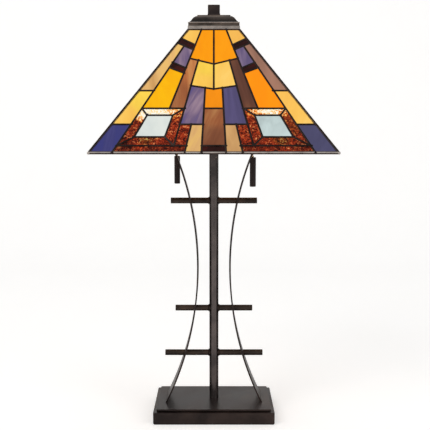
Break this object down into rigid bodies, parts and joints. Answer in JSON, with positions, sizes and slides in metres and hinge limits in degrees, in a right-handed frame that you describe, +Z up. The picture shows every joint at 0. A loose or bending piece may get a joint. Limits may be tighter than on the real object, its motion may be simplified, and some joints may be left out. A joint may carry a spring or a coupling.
{
  "type": "stained glass table lamp",
  "caption": "Table lamp with a square pyramid stained glass shade on a slim barred column, pull-chain bulbs under the shade and a rectangular weighted base.",
  "frame": {"origin": "centre of the base's underside", "axes": "+Z up, +Y towards the back where the cord leaves, +X to the right seen from the front"},
  "size_m": [0.4108, 0.4108, 0.7672],
  "materials": {
    "bronze": "dark bronze satin paint",
    "bar_bronze": "dark bronze satin paint, rubbed brown",
    "felt": "felt",
    "cast_weight": "cast cement",
    "steel": "zinc plated",
    "brass": "satin",
    "bushing": "satin",
    "card": "waxed",
    "bakelite": "gloss",
    "collar": "satin bronze",
    "lead": "bronze patina on solder",
    "cream_glass": "streaked opalescent",
    "orange_glass": "streaked opalescent",
    "amber_glass": "streaked opalescent",
    "tan_glass": "streaked opalescent",
    "brown_glass": "streaked opalescent",
    "violet_glass": "streaked opalescent",
    "blue_glass": "streaked opalescent",
    "dark_glass": "textured cathedral",
    "ripple_glass": "textured cathedral",
    "jewel_glass": "textured cathedral",
    "bulb_glass": "frosted"
  },
  "bodies": {
    "stand": {"felt_pad": "felt", "base_casing": "bronze", "base_weight": "cast_weight", "base_top_plate": "bronze", "base_nut": "steel", "base_washer": "steel", "cord_bushing": "bushing", "threaded_rod": "steel", "column_tube": "bronze", "column_ring": "bronze", "upper_crossbar": "bar_bronze", "middle_crossbar": "bar_bronze", "lower_crossbar": "bar_bronze", "left_strip": "bronze", "right_strip": "bronze", "weld_beads": "bronze", "cluster_body": "bronze", "cluster_cover": "bronze", "left_arm": "steel", "right_arm": "steel", "riser_tube": "bronze", "lock_nuts": "steel", "seat_washer": "steel", "left_socket_cap": "brass", "right_socket_cap": "brass", "left_socket_shell": "brass", "right_socket_shell": "brass", "insulator_sleeves": "card", "switch_blocks": "bakelite", "screw_shells": "brass", "left_spout": "brass", "right_spout": "brass"},
    "shade": {"shade_cap": "bronze", "top_collar": "collar", "bottom_rim": "lead", "hip_cames": "lead", "front_leading": "lead", "right_leading": "lead", "back_leading": "lead", "left_leading": "lead", "cream_glass": "cream_glass", "orange_glass": "orange_glass", "amber_glass": "amber_glass", "tan_glass": "tan_glass", "brown_glass": "brown_glass", "violet_glass": "violet_glass", "blue_glass": "blue_glass", "dark_glass": "dark_glass", "ripple_glass": "ripple_glass", "jewel_glass": "jewel_glass"},
    "finial": {"finial_block": "bronze", "finial_insert": "brass"},
    "left_pull": {"left_chain": "brass"},
    "right_pull": {"right_chain": "brass"},
    "left_pull_knob": {"left_knob": "bronze"},
    "right_pull_knob": {"right_knob": "bronze"},
    "left_bulb": {"left_bulb_glass": "bulb_glass", "left_bulb_base": "steel"},
    "right_bulb": {"right_bulb_glass": "bulb_glass", "right_bulb_base": "steel"}
  },
  "joints": [
    {"name": "shade_turn", "type": "hinge", "parent": "stand", "child": "shade", "pos_m": [0, 0, 0.74], "axis": [0, 0, 1], "continuous": true},
    {"name": "finial_turn", "type": "hinge", "parent": "stand", "child": "finial", "pos_m": [0, 0, 0.75], "axis": [0, 0, 1], "continuous": true},
    {"name": "left_pull_slide", "type": "slide", "parent": "stand", "child": "left_pull", "axis": [0, 0, -1], "range_m": [0, 0.012], "stiffness_N_per_m": 300, "springref_m": -0.003},
    {"name": "left_knob_swing", "type": "hinge", "parent": "left_pull", "child": "left_pull_knob", "pos_m": [-0.07085, 0.04513, 0.4875], "axis": [0, 1, 0], "range_deg": [-20, 20]},
    {"name": "left_bulb_turn", "type": "hinge", "parent": "stand", "child": "left_bulb", "pos_m": [0, 0, 0.536], "axis": [-0.8434, 0.5373, 0], "continuous": true},
    {"name": "right_pull_slide", "type": "slide", "parent": "stand", "child": "right_pull", "axis": [0, 0, -1], "range_m": [0, 0.012], "stiffness_N_per_m": 300, "springref_m": -0.003},
    {"name": "right_knob_swing", "type": "hinge", "parent": "right_pull", "child": "right_pull_knob", "pos_m": [0.07085, -0.04513, 0.4875], "axis": [0, 1, 0], "range_deg": [-20, 20]},
    {"name": "right_bulb_turn", "type": "hinge", "parent": "stand", "child": "right_bulb", "pos_m": [0, 0, 0.536], "axis": [0.8434, -0.5373, 0], "continuous": true}
  ]
}
